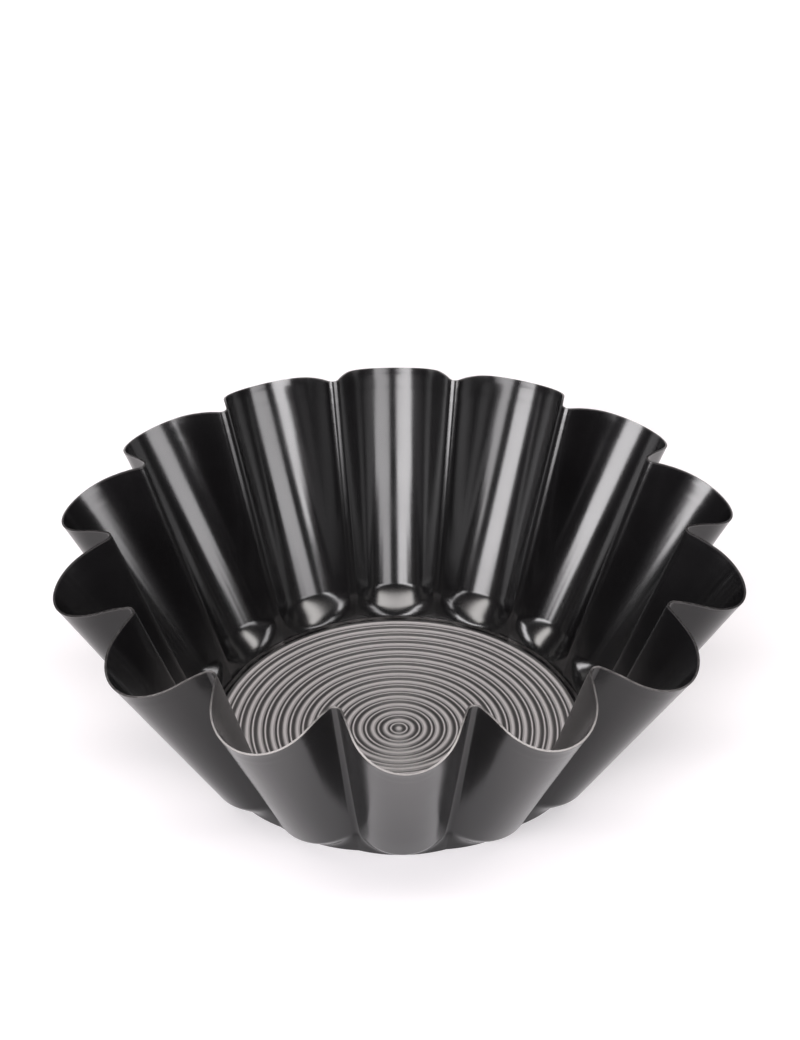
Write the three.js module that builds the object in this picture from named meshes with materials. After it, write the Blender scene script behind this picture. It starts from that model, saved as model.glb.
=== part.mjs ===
// Fluted pudding mould, open at the top and standing on its ringed base.
// One round steel sheet is drawn into flutes with narrow folds between them. It carries a gloss
// non-stick coat on the food side and a satin coat on the outer side.
// Millimetres, +Z up, origin under the middle of the base, one flute facing -Y.
import * as THREE from 'three';

// Flutes at the cut edge of the rim, measured on the outer face
const fluteCount = 14;
const rimRadius = 105;
const rimFluteDepth = 18.2;
const rimCrownRadius = 16;
const rimFoldRadius = 2;

// The cut edge is lowest on each flute's crown and rises to each fold
const rimCrownHeight = 67.8;
const rimFoldRise = 7.9;
const rimRisePower = 1.45;

// Ringed base, with a flat margin that the mould stands on
const ringCount = 14;
const ringPitch = 3.93;
const ringHeight = 0.5;
const marginWidth = 1.8;

// Toes, where the flutes close on the base: the straight walls start above them
const toeHeight = 10.8;
const toeCrownReach = 12.3;
const toeFoldReach = 3.8;
const toeCrownRadius = 9;
const toeFoldRadius = 2.5;
const toeFootWidth = 6;

// Height at which each wall line, carried on downwards, turns in to the base
const crownTurnHeight = 6;
const foldTurnHeight = 2.2;

// Layers of the coated sheet
const outerCoatThickness = 0.05;
const steelThickness = 0.5;
const innerCoatThickness = 0.05;

// Facets
const crownSteps = 3;
const foldSteps = 1;
const toeRows = 3;
const wallRows = 2;
const ringStepsPerFlute = 3;

const ringedRadius = (ringCount + 0.5) * ringPitch;
const marginRadius = ringedRadius + marginWidth;
const fluteAngle = (2 * Math.PI) / fluteCount;
const stepsPerHalf = crownSteps + 1 + foldSteps;
const stepsPerFlute = 2 * stepsPerHalf;

// Half of one flute in plan: a round crown, a straight flank tangent to it, and a round fold.
// Each point holds its radius from the mould's axis and its angle from the crown.
function halfFlute(crownReach, foldReach, crownRadiusWanted, foldRadius) {
  const halfAngle = fluteAngle / 2;
  const foldCentre = new THREE.Vector2(Math.sin(halfAngle), Math.cos(halfAngle));
  foldCentre.multiplyScalar(foldReach + foldRadius);
  const crownRadius = Math.min(crownRadiusWanted, foldCentre.x - foldRadius);
  const crownCentre = new THREE.Vector2(0, crownReach - crownRadius);
  const between = foldCentre.clone().sub(crownCentre);
  const flankTurn = Math.acos((crownRadius + foldRadius) / between.length());
  const flankAngle = Math.atan2(between.y, between.x) + flankTurn;
  const tipAngle = (3 * Math.PI) / 2 - halfAngle;

  const points = [];
  for (let step = 0; step <= crownSteps; step += 1) {
    const turn = THREE.MathUtils.lerp(Math.PI / 2, flankAngle, step / crownSteps);
    points.push(new THREE.Vector2(Math.cos(turn), Math.sin(turn)).multiplyScalar(crownRadius).add(crownCentre));
  }
  for (let step = 0; step <= foldSteps; step += 1) {
    const turn = THREE.MathUtils.lerp(flankAngle + Math.PI, tipAngle, step / foldSteps);
    points.push(new THREE.Vector2(Math.cos(turn), Math.sin(turn)).multiplyScalar(foldRadius).add(foldCentre));
  }
  return points.map((point) => ({ radius: point.length(), angle: Math.atan2(point.x, point.y) }));
}

const rimHalf = halfFlute(rimRadius, rimRadius - rimFluteDepth, rimCrownRadius, rimFoldRadius);
const toeHalf = halfFlute(
  marginRadius + toeCrownReach,
  marginRadius + toeFoldReach,
  toeCrownRadius,
  toeFoldRadius,
);

// Angle from the crown at which a wall line meets the base: the crown's lines share the toe's
// narrow foot, and the fold's lines fan out from it to the middle of the fold
function footAngle(index) {
  const footEdge = toeFootWidth / 2 / marginRadius;
  if (index <= crownSteps + 1) {
    return (footEdge * index) / (crownSteps + 1);
  }
  return THREE.MathUtils.lerp(footEdge, fluteAngle / 2, (index - crownSteps - 1) / foldSteps);
}

// A point at an angle from the front, counted anticlockwise from above
function around(radius, angle, height) {
  return new THREE.Vector3(radius * Math.sin(angle), -radius * Math.cos(angle), height);
}

// One line of the wall, from the base margin round the toe and straight up to the cut edge
function wallLine(column) {
  const flute = Math.floor(column / stepsPerFlute);
  const step = column % stepsPerFlute;
  const mirrored = step > stepsPerHalf;
  const index = mirrored ? stepsPerFlute - step : step;
  const turn = (angle) => (mirrored ? (flute + 1) * fluteAngle - angle : flute * fluteAngle + angle);

  const rim = rimHalf[index];
  const rise = THREE.MathUtils.clamp((rimRadius - rim.radius) / rimFluteDepth, 0, 1);
  const edgeHeight = rimCrownHeight + rimFoldRise * (1 - (1 - rise) ** rimRisePower);
  const turnHeight = THREE.MathUtils.lerp(crownTurnHeight, foldTurnHeight, rise);

  const foot = around(marginRadius, turn(footAngle(index)), 0);
  const toeTop = around(toeHalf[index].radius, turn(toeHalf[index].angle), toeHeight);
  const edge = around(rim.radius, turn(rim.angle), edgeHeight);
  const corner = toeTop.clone().lerp(edge, (turnHeight - toeHeight) / (edgeHeight - toeHeight));
  const toe = new THREE.QuadraticBezierCurve3(foot, corner, toeTop).getPoints(toeRows);
  const wall = new THREE.LineCurve3(toeTop, edge).getPoints(wallRows);
  return toe.concat(wall.slice(1));
}

// Direction halfway between the two stretches of a path that meet at a point
function pathDirection(before, here, after) {
  const arriving = here.clone().sub(before).normalize();
  const leaving = after.clone().sub(here).normalize();
  return arriving.add(leaving);
}

// The wall's points, level by level from the margin to the cut edge, with the way out of the sheet
function wallLevels() {
  const lines = [];
  for (let column = 0; column < fluteCount * stepsPerFlute; column += 1) {
    lines.push(wallLine(column));
  }
  const topLevel = toeRows + wallRows;
  const levels = [];
  for (let level = 0; level <= topLevel; level += 1) {
    levels.push(lines.map((line, column) => {
      const here = line[level];
      const left = lines.at(column - 1)[level];
      const right = lines[(column + 1) % lines.length][level];
      const below = level > 0 ? line[level - 1] : here.clone().multiplyScalar(ringedRadius / marginRadius);
      const above = level < topLevel ? line[level + 1] : here.clone().multiplyScalar(2).sub(below);
      const outward = pathDirection(left, here, right).cross(pathDirection(below, here, above)).normalize();
      return { here, outward };
    }));
  }
  return levels;
}

// The rings of the base as rows of points: a crest at the middle, then troughs and crests in turn
function ringRows() {
  const outward = new THREE.Vector3(0, 0, -1);
  const rows = [[{ here: around(0, 0, ringHeight), outward }]];
  const halfRings = 2 * ringCount + 1;
  for (let half = 1; half <= halfRings; half += 1) {
    const radius = (half * ringPitch) / 2;
    const height = half % 2 === 0 ? ringHeight : 0;
    const count = fluteCount * Math.ceil((ringStepsPerFlute * radius) / ringedRadius);
    const row = [];
    for (let step = 0; step < count; step += 1) {
      row.push({ here: around(radius, (2 * Math.PI * step) / count, height), outward });
    }
    rows.push(row);
  }
  return rows;
}

// Triangles between each row and the next one out, facing out of the mould
function sheetTriangles(rows) {
  const triangles = [];
  let first = 0;
  for (let level = 0; level + 1 < rows.length; level += 1) {
    const inner = rows[level].length;
    const outer = rows[level + 1].length;
    const next = first + inner;
    let i = 0;
    let j = 0;
    while (i < inner || j < outer) {
      const a = first + (i % inner);
      const b = next + (j % outer);
      if ((i + 1) / inner <= (j + 1) / outer) {
        i += 1;
        if (inner > 1) {
          triangles.push(a, first + (i % inner), b);
        }
      } else {
        j += 1;
        triangles.push(a, next + (j % outer), b);
      }
    }
    first = next;
  }
  return triangles;
}

// The outer face of the sheet, from the middle of the base out to the cut edge
const sheetRows = ringRows().concat(wallLevels());
const sheetPoints = sheetRows.flat();
const sheetFaces = sheetTriangles(sheetRows);

// One layer of the sheet as a closed solid, between two depths under the outer face
function layer(name, depth, thickness, material) {
  const faceAt = (faceDepth) => sheetPoints.map(({ here, outward }) => (
    here.clone().addScaledVector(outward, -faceDepth)
  ));
  const count = sheetPoints.length;
  const edgeCount = sheetRows.at(-1).length;
  const edgeStart = count - edgeCount;
  const faces = [...sheetFaces];
  for (let index = 0; index < sheetFaces.length; index += 3) {
    faces.push(count + sheetFaces[index], count + sheetFaces[index + 2], count + sheetFaces[index + 1]);
  }
  for (let step = 0; step < edgeCount; step += 1) {
    const here = edgeStart + step;
    const beyond = edgeStart + ((step + 1) % edgeCount);
    faces.push(here, beyond, count + beyond);
    faces.push(here, count + beyond, count + here);
  }
  const geometry = new THREE.BufferGeometry();
  geometry.setFromPoints(faceAt(depth).concat(faceAt(depth + thickness)));
  geometry.setIndex(faces);
  geometry.computeVertexNormals();
  const mesh = new THREE.Mesh(geometry, material);
  mesh.name = name;
  return mesh;
}

const satinGrey = new THREE.MeshStandardMaterial({ color: 0x6b6869, roughness: 0.45, metalness: 0.5 });
const bareSteel = new THREE.MeshStandardMaterial({ color: 0xc8c6c4, roughness: 0.3, metalness: 1 });
const glossBlack = new THREE.MeshStandardMaterial({ color: 0x1a1819, roughness: 0.18, metalness: 0.3 });

const mould = new THREE.Group();
mould.add(layer('outer_satin_coat', 0, outerCoatThickness, satinGrey));
mould.add(layer('steel_sheet', outerCoatThickness, steelThickness, bareSteel));
mould.add(layer('inner_nonstick_coat', outerCoatThickness + steelThickness, innerCoatThickness, glossBlack));

export default mould;
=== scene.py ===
import math

import bmesh
import bpy
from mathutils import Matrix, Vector
from mathutils.geometry import interpolate_bezier


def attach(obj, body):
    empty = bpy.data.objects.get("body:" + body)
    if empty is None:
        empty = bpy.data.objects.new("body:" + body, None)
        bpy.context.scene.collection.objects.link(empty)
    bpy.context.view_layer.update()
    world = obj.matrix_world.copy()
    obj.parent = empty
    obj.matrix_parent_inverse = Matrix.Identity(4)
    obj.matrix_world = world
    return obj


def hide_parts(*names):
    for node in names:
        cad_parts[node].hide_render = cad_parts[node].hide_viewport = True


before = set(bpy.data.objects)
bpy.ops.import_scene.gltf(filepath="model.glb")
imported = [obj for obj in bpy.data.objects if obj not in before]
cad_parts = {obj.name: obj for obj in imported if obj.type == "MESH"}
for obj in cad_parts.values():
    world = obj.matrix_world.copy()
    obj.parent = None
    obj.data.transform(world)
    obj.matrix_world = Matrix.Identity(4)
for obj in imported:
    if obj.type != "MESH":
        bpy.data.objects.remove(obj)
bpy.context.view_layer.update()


# Steel sheet. One round blank of thin steel is drawn over a fluted punch, so that fourteen deep
# flutes with narrow folds between them close in round toes on the base. The rings are coined into
# the base in the same press, and the wavy rim is a plain cut edge of bare bright steel.
millimetre = 0.001
flute_count = 14
half_turn = math.pi / flute_count

# The cut edge is lowest on each flute's crown and rises to each fold
rim_radius = 105.0
rim_flute_depth = 18.2
rim_crown_radius = 16.0
rim_flatness = 1.0
rim_fold_radius = 2.0
rim_crown_height = 67.8
rim_fold_rise = 7.9
rim_rise_power = 1.45

# Each ring has a broad crest and a narrow one, given as shares of the pitch and of the height
ring_count = 14
ring_pitch = 3.93
ring_height = 0.3
ring_shape = (
    (0.03, 1.0), (0.17, 0.98), (0.22, 0.8), (0.31, 0.16), (0.34, 0.0),
    (0.45, 0.0), (0.48, 0.16), (0.58, 0.82), (0.63, 0.98), (0.67, 0.82),
    (0.74, 0.3), (0.77, 0.16), (0.87, 0.16), (0.9, 0.3), (0.98, 0.86),
)
ringed_radius = (ring_count + 0.5) * ring_pitch

# The straight wall starts above the toes
toe_height = 10.8
toe_crown_radius = 12.5
toe_crown_reach = 70.0
toe_flatness = 1.25
toe_fold_radius = 2.0
toe_fold_reach = 62.2

# The toes: a low steep plinth stands round the base, and each flute's floor cuts it in a U
base_crown_radius = 59.6
base_fold_radius = 58.7
plinth_lean = 0.35
crown_brow_height = 0.75
fold_brow_height = 7.8
brow_rounding = 2.3
brow_hold = 0.6
most_of_plinth = 0.9
half_of_floor = 0.5
crown_turn_height = 6.3
fold_turn_height = 9.4
crown_bend_height = 7.6
fold_bend_height = 10.8
floor_hold = 0.6

# Distance of the rim's press lines under the cut edge, and how far the wall leans out there
lip_lines = (
    (7.2, 0.0), (6.7, 0.0), (6.3, 0.015), (4.5, 0.015), (2.4, 0.02),
    (1.9, 0.04), (1.4, 0.07), (0.7, 0.09), (0.0, 0.12),
)
worn_width = 0.9

crown_columns = 12
flank_columns = 3
fold_columns = 6
plinth_rows = 4
brow_rows = 5
floor_rows = 14
wall_rows = 5
columns = crown_columns + flank_columns + fold_columns
rows = plinth_rows + brow_rows + floor_rows + wall_rows + len(lip_lines) - 1
ring_steps_per_flute = 7

outer_coat_thickness = 0.05
steel_thickness = 0.5
inner_coat_thickness = 0.05

merge_gap = 0.001
base_level = 0.01
ring_clearance = 0.1
sharp_angle = math.radians(60)


def between(low, high, share):
    return low + (high - low) * share


def half_flute(crown_reach, fold_reach, crown_radius, fold_radius, flatness):
    """Half of one flute in plan, crown to fold: reaches from the axis, angles from the crown."""
    fold_centre = Vector((math.sin(half_turn), math.cos(half_turn))) * (fold_reach + fold_radius)
    crown_centre = Vector((0.0, crown_reach - crown_radius))
    gap = fold_centre - crown_centre
    flank = math.atan2(gap.y, gap.x) + math.acos((crown_radius + fold_radius) / gap.length)
    tip = 1.5 * math.pi - half_turn

    def on_arc(centre, radius, turn):
        return centre + Vector((math.cos(turn), math.sin(turn))) * radius

    crown_top = Vector((0.0, crown_reach))
    crown_end = on_arc(crown_centre, crown_radius, flank)
    fold_start = on_arc(fold_centre, fold_radius, flank + math.pi)
    handle = crown_radius * math.tan((math.pi / 2 - flank) / 4) * 4 / 3
    top_handle = Vector((handle * flatness, 0.0))
    end_handle = (fold_start - crown_end).normalized() * handle * (2 - flatness)
    crown = interpolate_bezier(
        crown_top, crown_top + top_handle, crown_end - end_handle, crown_end, crown_columns + 1,
    )
    points = crown[:-1]
    for step in range(flank_columns):
        points.append(crown_end.lerp(fold_start, step / flank_columns))
    for step in range(fold_columns + 1):
        turn = between(flank + math.pi, tip, step / fold_columns)
        points.append(on_arc(fold_centre, fold_radius, turn))
    return [(point.length, math.atan2(point.x, point.y)) for point in points]


def around(radius, angle, height):
    """A point at an angle from the front of the mould, counted anticlockwise from above."""
    return Vector((radius * math.sin(angle), -radius * math.cos(angle), height))


rim_half = half_flute(
    rim_radius, rim_radius - rim_flute_depth, rim_crown_radius, rim_fold_radius, rim_flatness,
)
toe_half = half_flute(
    toe_crown_reach, toe_fold_reach, toe_crown_radius, toe_fold_radius, toe_flatness,
)


def wall_line(column):
    """One line of the wall: up the plinth, over its brow, along the toe's floor, up to the rim."""
    rim_reach, rim_angle = rim_half[column]
    toe_reach, toe_angle = toe_half[column]
    rise = min(max((rim_radius - rim_reach) / rim_flute_depth, 0.0), 1.0)
    edge_height = rim_crown_height + rim_fold_rise * (1 - (1 - rise) ** rim_rise_power)
    toe_top = around(toe_reach, toe_angle, toe_height)
    edge = around(rim_reach - lip_lines[-1][1], rim_angle, edge_height)

    def up_the_wall(height):
        return toe_top.lerp(edge, (height - toe_height) / (edge_height - toe_height))

    side = (toe_angle / half_turn) ** 2
    base_radius = between(base_crown_radius, base_fold_radius, side)
    brow_height = between(crown_brow_height, fold_brow_height, side)
    turn = up_the_wall(between(crown_turn_height, fold_turn_height, side))
    bend = up_the_wall(between(crown_bend_height, fold_bend_height, side))
    foot = around(base_radius, toe_angle, 0.0)
    brow = around(base_radius + plinth_lean * brow_height, toe_angle, brow_height)

    brow_start = brow.lerp(foot, min(brow_rounding / (brow - foot).length, most_of_plinth))
    brow_end = brow.lerp(turn, min(brow_rounding / (turn - brow).length, half_of_floor))
    plinth = [foot.lerp(brow_start, row / plinth_rows) for row in range(plinth_rows)]
    over_brow = interpolate_bezier(
        brow_start, brow_start.lerp(brow, brow_hold),
        brow_end.lerp(brow, brow_hold), brow_end, brow_rows + 1,
    )
    floor_line = interpolate_bezier(
        brow_end, brow_end.lerp(turn, floor_hold), turn, bend, floor_rows + 1,
    )

    outwards = around(1.0, rim_angle, 0.0)
    length = (edge - bend).length
    lip = [edge.lerp(bend, below / length) + outwards * lean for below, lean in lip_lines]
    wall = [bend.lerp(lip[0], row / wall_rows) for row in range(1, wall_rows)]
    return plinth + over_brow[:-1] + floor_line + wall + lip


sheet = bmesh.new()
edge_wear = sheet.verts.layers.float.new("edge_wear")
bmesh.ops.create_grid(sheet, x_segments=columns, y_segments=rows, size=0.5)
wall_lines = [wall_line(column) for column in range(columns + 1)]
for point in sheet.verts:
    column = round((point.co.x + 0.5) * columns)
    row = round((point.co.y + 0.5) * rows)
    point.co = wall_lines[column][row]
    below_edge = (wall_lines[column][-1] - point.co).length
    point[edge_wear] = max(0.0, 1.0 - below_edge / worn_width)
half_of_one = sheet.verts[:] + sheet.edges[:] + sheet.faces[:]
bmesh.ops.mirror(sheet, geom=half_of_one, axis="X", merge_dist=merge_gap)
one_flute = sheet.verts[:] + sheet.edges[:] + sheet.faces[:]
bmesh.ops.spin(
    sheet, geom=one_flute, cent=(0, 0, 0), axis=(0, 0, 1),
    angle=2 * math.pi * (flute_count - 1) / flute_count, steps=flute_count - 1, use_duplicate=True,
)
bmesh.ops.remove_doubles(sheet, verts=sheet.verts[:], dist=merge_gap)
foot_edges = [
    edge for edge in sheet.edges
    if edge.is_boundary and max(v.co.z for v in edge.verts) < base_level
]

ring_profile = [sheet.verts.new((0, 0, ring_height))]
ring_edges = []
for ring in range(ring_count + 1):
    for phase, height in ring_shape:
        radius = (ring + phase) * ring_pitch
        if radius < ringed_radius:
            ring_profile.append(sheet.verts.new((0, -radius, ring_height * height)))
            ring_edges.append(sheet.edges.new(ring_profile[-2:]))
ring_profile.append(sheet.verts.new((0, -ringed_radius, 0)))
ring_edges.append(sheet.edges.new(ring_profile[-2:]))
bmesh.ops.spin(
    sheet, geom=ring_profile + ring_edges, cent=(0, 0, 0), axis=(0, 0, 1),
    angle=2 * math.pi, steps=ring_steps_per_flute * flute_count, use_merge=True,
)
bmesh.ops.remove_doubles(sheet, verts=sheet.verts[:], dist=merge_gap)
disc_edges = [
    edge for edge in sheet.edges
    if edge.is_boundary
    and max(v.co.xy.length for v in edge.verts) < ringed_radius + ring_clearance
]
bmesh.ops.bridge_loops(sheet, edges=foot_edges + disc_edges)
bmesh.ops.recalc_face_normals(sheet, faces=sheet.faces[:])
middle_face = min(sheet.faces, key=lambda face: face.calc_center_median().xy.length)
if middle_face.normal.z > 0:
    bmesh.ops.reverse_faces(sheet, faces=sheet.faces[:])
sheet.normal_update()


def sheet_layer(name, depth, thickness):
    """A layer of the sheet between two depths under its outer face, as a closed skin."""
    layer = sheet.copy()
    layer.normal_update()
    for point in layer.verts:
        point.co -= point.normal * depth
    bmesh.ops.solidify(layer, geom=layer.faces[:], thickness=thickness)
    bmesh.ops.scale(layer, vec=(millimetre,) * 3, verts=layer.verts[:])
    mesh = bpy.data.meshes.new(name)
    layer.to_mesh(mesh)
    layer.free()
    mesh.shade_smooth()
    mesh.set_sharp_from_angle(angle=sharp_angle)
    piece = bpy.data.objects.new(name, mesh)
    bpy.context.scene.collection.objects.link(piece)
    return piece


def finish_for(piece, name):
    """A new material on a piece, as its nodes and links."""
    material = bpy.data.materials.new(name)
    material.use_nodes = True
    piece.data.materials.append(material)
    return material.node_tree.nodes, material.node_tree.links


def add_noise(nodes, links, scale, detail):
    """Noise through the solid piece, in its own coordinates."""
    place = nodes.new("ShaderNodeTexCoord")
    noise = nodes.new("ShaderNodeTexNoise")
    noise.inputs["Scale"].default_value = scale
    noise.inputs["Detail"].default_value = detail
    links.new(place.outputs["Object"], noise.inputs["Vector"])
    return noise.outputs["Fac"]


def add_range(nodes, links, value, source, result):
    """A value carried over from one span to another, each given as its low and high end."""
    spread = nodes.new("ShaderNodeMapRange")
    spread.inputs["From Min"].default_value, spread.inputs["From Max"].default_value = source
    spread.inputs["To Min"].default_value, spread.inputs["To Max"].default_value = result
    links.new(value, spread.inputs["Value"])
    return spread.outputs["Result"]


def add_blend(nodes, links, share, low, high):
    """A colour between two, each given as a colour or as another node's output."""
    blend = nodes.new("ShaderNodeMix")
    blend.data_type = "RGBA"
    links.new(share, blend.inputs[0])
    for socket, colour in ((blend.inputs[6], low), (blend.inputs[7], high)):
        if isinstance(colour, tuple):
            socket.default_value = colour
        else:
            links.new(colour, socket)
    return blend.outputs[2]


def add_bump(nodes, links, shader, height, strength, depth):
    """Fine relief in the surface, with its depth in millimetres."""
    bump = nodes.new("ShaderNodeBump")
    bump.inputs["Strength"].default_value = strength
    bump.inputs["Distance"].default_value = depth * millimetre
    links.new(height, bump.inputs["Height"])
    links.new(bump.outputs["Normal"], shader.inputs["Normal"])


noise_span = (0.3, 0.7)
shear_mark_scale = 900
shear_mark_detail = 3
shear_mark_strength = 0.3
shear_mark_depth = 0.05
steel_dark = (0.09, 0.086, 0.086, 1)
steel_bright = (0.28, 0.268, 0.268, 1)
steel_roughness = (0.32, 0.5)

steel = sheet_layer("drawn_steel_sheet", outer_coat_thickness, steel_thickness)
nodes, links = finish_for(steel, "bare_cut_steel")
shader = nodes["Principled BSDF"]
shader.inputs["Metallic"].default_value = 1.0
shear_marks = add_noise(nodes, links, shear_mark_scale, shear_mark_detail)
steel_tone = add_blend(nodes, links, shear_marks, steel_dark, steel_bright)
links.new(steel_tone, shader.inputs["Base Color"])
sheen = add_range(nodes, links, shear_marks, noise_span, steel_roughness)
links.new(sheen, shader.inputs["Roughness"])
add_bump(nodes, links, shader, shear_marks, shear_mark_strength, shear_mark_depth)
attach(steel, "root")
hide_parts("steel_sheet")


# Inner coat. A gloss black non-stick coat is rolled onto the blank before it is drawn, so it
# follows every flute. On the coined rings of the base the press has dulled it to a satin finish.
# Its grey there is partly a paler coat and partly painted light: painted highlights on the ring
# crests and painted shade in the valleys. Along the cut edge it is rubbed thin.
inner_refraction = 1.75
gloss_roughness = (0.17, 0.22)
dulled_roughness = 0.32
coat_cloud_scale = 45
coat_cloud_detail = 4
coat_grain_scale = 2400
coat_grain_detail = 2
coat_grain_strength = 0.25
coat_grain_depth = 0.012
deep_black = (0.0028, 0.0026, 0.0029, 1)
soft_black = (0.005, 0.0046, 0.0051, 1)
rubbed_grey = (0.1, 0.094, 0.095, 1)
rubbed_span = (0.4, 1.0)
inner_rubbed_share = 0.5

# The greys across one ring, crest to crest, as painted highlight and painted shade, and the blur
# where the rings end
painted_crest_grey = 0.44
painted_ring_greys = (
    (0.06, 0.5), (0.17, 0.42), (0.27, 0.16), (0.36, 0.05), (0.48, 0.04), (0.56, 0.12),
    (0.6, 0.35), (0.63, 0.68), (0.67, 0.35), (0.75, 0.05), (0.84, 0.04), (0.92, 0.3),
)
green_share = 0.95
blue_share = 0.96
ring_blur = 0.2

inner_depth = outer_coat_thickness + steel_thickness
inner = sheet_layer("inner_nonstick_coat_gloss", inner_depth, inner_coat_thickness)
nodes, links = finish_for(inner, "gloss_black_nonstick")
shader = nodes["Principled BSDF"]
shader.inputs["IOR"].default_value = inner_refraction

place = nodes.new("ShaderNodeTexCoord")
flatten = nodes.new("ShaderNodeVectorMath")
flatten.operation = "MULTIPLY"
flatten.inputs[1].default_value = (1, 1, 0)
links.new(place.outputs["Object"], flatten.inputs[0])
from_axis = nodes.new("ShaderNodeVectorMath")
from_axis.operation = "LENGTH"
links.new(flatten.outputs["Vector"], from_axis.inputs[0])
rings_end = (
    (ringed_radius + ring_blur) * millimetre, (ringed_radius - ring_blur) * millimetre,
)
on_rings = add_range(nodes, links, from_axis.outputs["Value"], rings_end, (0.0, 1.0))

ring_share = nodes.new("ShaderNodeMath")
ring_share.operation = "DIVIDE"
ring_share.inputs[1].default_value = ring_pitch * millimetre
links.new(from_axis.outputs["Value"], ring_share.inputs[0])
ring_phase = nodes.new("ShaderNodeMath")
ring_phase.operation = "FRACT"
links.new(ring_share.outputs["Value"], ring_phase.inputs[0])
# Painted light: this ramp paints highlights on the ring crests and shade in the valleys between
# them
ring_painted_ramp = nodes.new("ShaderNodeValToRGB")
ring_painted_ramp.color_ramp.interpolation = "EASE"
ring_stops = ring_painted_ramp.color_ramp.elements
ring_stops.remove(ring_stops[1])
ring_stops[0].position = 0.0
ring_stops[0].color = (painted_crest_grey, painted_crest_grey * green_share, painted_crest_grey * blue_share, 1)
for phase, grey in painted_ring_greys:
    stop = ring_stops.new(phase)
    stop.color = (grey, grey * green_share, grey * blue_share, 1)
links.new(ring_phase.outputs["Value"], ring_painted_ramp.inputs["Fac"])


def add_rubbed_edge(nodes, links, coat_colour, most):
    """A coat's colour with bare metal showing through, up to a share, along the cut edge."""
    rubbed = nodes.new("ShaderNodeAttribute")
    rubbed.attribute_name = "edge_wear"
    share = add_range(nodes, links, rubbed.outputs["Fac"], rubbed_span, (0.0, most))
    return add_blend(nodes, links, share, coat_colour, rubbed_grey)


coat_clouds = add_noise(nodes, links, coat_cloud_scale, coat_cloud_detail)
coat_grain = add_noise(nodes, links, coat_grain_scale, coat_grain_detail)
coat_black = add_blend(nodes, links, coat_clouds, deep_black, soft_black)
rubbed_black = add_rubbed_edge(nodes, links, coat_black, inner_rubbed_share)
# The rings' painted highlights and painted shade take the place of the coat's black on the base
inner_colour = add_blend(nodes, links, on_rings, rubbed_black, ring_painted_ramp.outputs["Color"])
links.new(inner_colour, shader.inputs["Base Color"])

gloss = add_range(nodes, links, coat_clouds, noise_span, gloss_roughness)
dulled = nodes.new("ShaderNodeMix")
links.new(on_rings, dulled.inputs["Factor"])
links.new(gloss, dulled.inputs["A"])
dulled.inputs["B"].default_value = dulled_roughness
links.new(dulled.outputs["Result"], shader.inputs["Roughness"])
add_bump(nodes, links, shader, coat_grain, coat_grain_strength, coat_grain_depth)
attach(inner, "root")
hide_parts("inner_nonstick_coat")


# Outer coat. The outside of the same blank carries a dark satin coat, rolled on before drawing as
# the inner one is. It looks grey where it mirrors a pale table, and it is rubbed thin along the
# cut edge.
outer_refraction = 1.38
satin_roughness = (0.19, 0.23)
satin_cloud_scale = 60
satin_cloud_detail = 4
satin_grain_scale = 2000
satin_grain_detail = 2
satin_grain_strength = 0.1
satin_grain_depth = 0.012
satin_deep = (0.0016, 0.0014, 0.0016, 1)
satin_soft = (0.0036, 0.0033, 0.0036, 1)
outer_rubbed_share = 0.4

outer = sheet_layer("outer_satin_coat_grey", 0.0, outer_coat_thickness)
nodes, links = finish_for(outer, "satin_grey_coat")
shader = nodes["Principled BSDF"]
shader.inputs["IOR"].default_value = outer_refraction
satin_clouds = add_noise(nodes, links, satin_cloud_scale, satin_cloud_detail)
satin_grain = add_noise(nodes, links, satin_grain_scale, satin_grain_detail)
satin_grey = add_blend(nodes, links, satin_clouds, satin_deep, satin_soft)
outer_colour = add_rubbed_edge(nodes, links, satin_grey, outer_rubbed_share)
links.new(outer_colour, shader.inputs["Base Color"])
satin = add_range(nodes, links, satin_clouds, noise_span, satin_roughness)
links.new(satin, shader.inputs["Roughness"])
add_bump(nodes, links, shader, satin_grain, satin_grain_strength, satin_grain_depth)
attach(outer, "root")
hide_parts("outer_satin_coat")
sheet.free()


# Studio. The mould stands on a wide pale floor of matt board. Two soft boxes in front of it and a
# long one overhead light it, and the camera looks down over the front of the rim. The floor's own
# glow whitens it for the camera and in reflections, and leaves the mould's shadow on it.
floor_half_width = 4.0
floor_colour = (0.8, 0.77, 0.79, 1)
glow_colour = (1, 1, 1, 1)
glow_reach = (0.28, 0.5)
glow_strength = (0.3, 0.75)
room_grey = (0.035, 0.034, 0.036, 1)

floor_mesh = bpy.data.meshes.new("floor")
floor_shape = bmesh.new()
bmesh.ops.create_grid(floor_shape, x_segments=1, y_segments=1, size=floor_half_width)
floor_shape.to_mesh(floor_mesh)
floor_shape.free()
floor = bpy.data.objects.new("floor", floor_mesh)
bpy.context.scene.collection.objects.link(floor)
nodes, links = finish_for(floor, "pale_floor")
shader = nodes["Principled BSDF"]
shader.inputs["Base Color"].default_value = floor_colour
shader.inputs["Roughness"].default_value = 1.0
shader.inputs["Specular IOR Level"].default_value = 0.0
shader.inputs["Emission Color"].default_value = glow_colour
floor_ray = nodes.new("ShaderNodeLightPath")
seen = floor_ray.outputs["Is Camera Ray"]
for ray in ("Is Glossy Ray", "Is Transmission Ray"):
    either = nodes.new("ShaderNodeMath")
    either.operation = "MAXIMUM"
    links.new(seen, either.inputs[0])
    links.new(floor_ray.outputs[ray], either.inputs[1])
    seen = either.outputs["Value"]
floor_place = nodes.new("ShaderNodeTexCoord")
floor_reach = nodes.new("ShaderNodeVectorMath")
floor_reach.operation = "LENGTH"
links.new(floor_place.outputs["Object"], floor_reach.inputs[0])
glow = nodes.new("ShaderNodeMath")
glow.operation = "MULTIPLY"
links.new(seen, glow.inputs[0])
glow_with_reach = add_range(
    nodes, links, floor_reach.outputs["Value"], glow_reach, glow_strength,
)
links.new(glow_with_reach, glow.inputs[1])
links.new(glow.outputs["Value"], shader.inputs["Emission Strength"])

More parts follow.
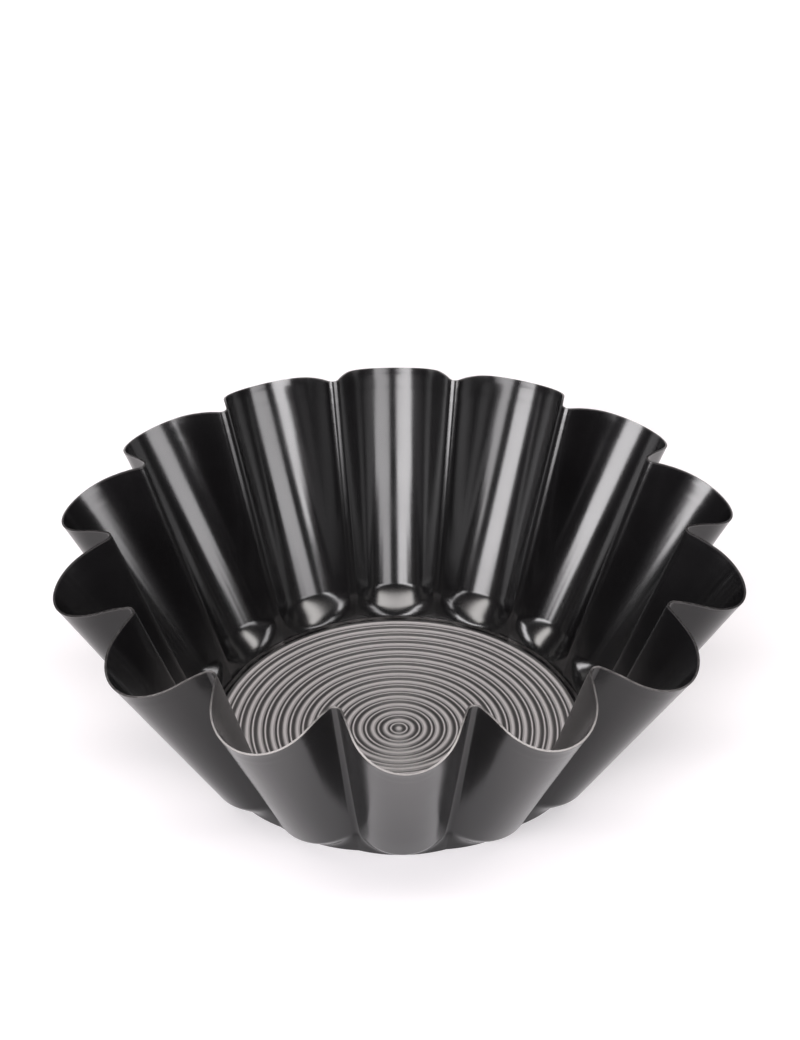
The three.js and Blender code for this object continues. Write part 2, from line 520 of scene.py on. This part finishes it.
world = bpy.data.worlds.new("studio")
bpy.context.scene.world = world
world.use_nodes = True
world.node_tree.nodes["Background"].inputs["Color"].default_value = room_grey


def towards(bearing, height, distance):
    """A place seen from the mould, by degrees to the right of its front and above the table."""
    bearing, height = math.radians(bearing), math.radians(height)
    across = math.cos(height) * distance
    return Vector((
        math.sin(bearing) * across, -math.cos(bearing) * across, math.sin(height) * distance,
    ))


def soft_box(name, place, aim, face, watts, colour):
    """A plain soft lamp with a rectangular face, given as its width and height."""
    lamp = bpy.data.lights.new(name, "AREA")
    lamp.shape = "RECTANGLE"
    lamp.size, lamp.size_y = face
    lamp.energy = watts
    lamp.color = colour
    lamp_object = bpy.data.objects.new(name, lamp)
    lamp_object.location = place
    lamp_object.rotation_euler = (Vector(aim) - place).to_track_quat("-Z", "Y").to_euler()
    bpy.context.scene.collection.objects.link(lamp_object)


cool_white = (1.0, 0.98, 1.0)
warm_white = (1.0, 0.97, 0.95)
mould_middle = (0, 0, 0.04)
side_face = (1.03, 0.72)
side_height = 23
side_distance = 1.3
left_place = towards(-34, side_height, side_distance)
right_place = towards(39, side_height, side_distance)
left_watts = 18
right_watts = 10.3
overhead_face = (1.9, 0.36)
overhead_place = Vector((0, -0.22, 1.1))
below_overhead = (0, -0.22, 0)
overhead_watts = 15.5
soft_box("left_box", left_place, mould_middle, side_face, left_watts, cool_white)
soft_box("right_box", right_place, mould_middle, side_face, right_watts, cool_white)
soft_box(
    "overhead_box", overhead_place, below_overhead, overhead_face, overhead_watts, warm_white,
)

lens = 114.54
camera_bearing = -1.06
camera_height = 35.2
camera_distance = 0.993
rim_middle = Vector((0, 0, 0.0754))
picture_middle = Vector((0.0004, 0.00233, 0.0787))
camera_data = bpy.data.cameras.new("camera")
camera_data.lens = lens
camera = bpy.data.objects.new("camera", camera_data)
camera.location = rim_middle + towards(camera_bearing, camera_height, camera_distance)
camera.rotation_euler = (camera.location - picture_middle).to_track_quat("Z", "Y").to_euler()
bpy.context.scene.collection.objects.link(camera)
bpy.context.scene.camera = camera
bpy.context.scene.view_settings.view_transform = "Standard"
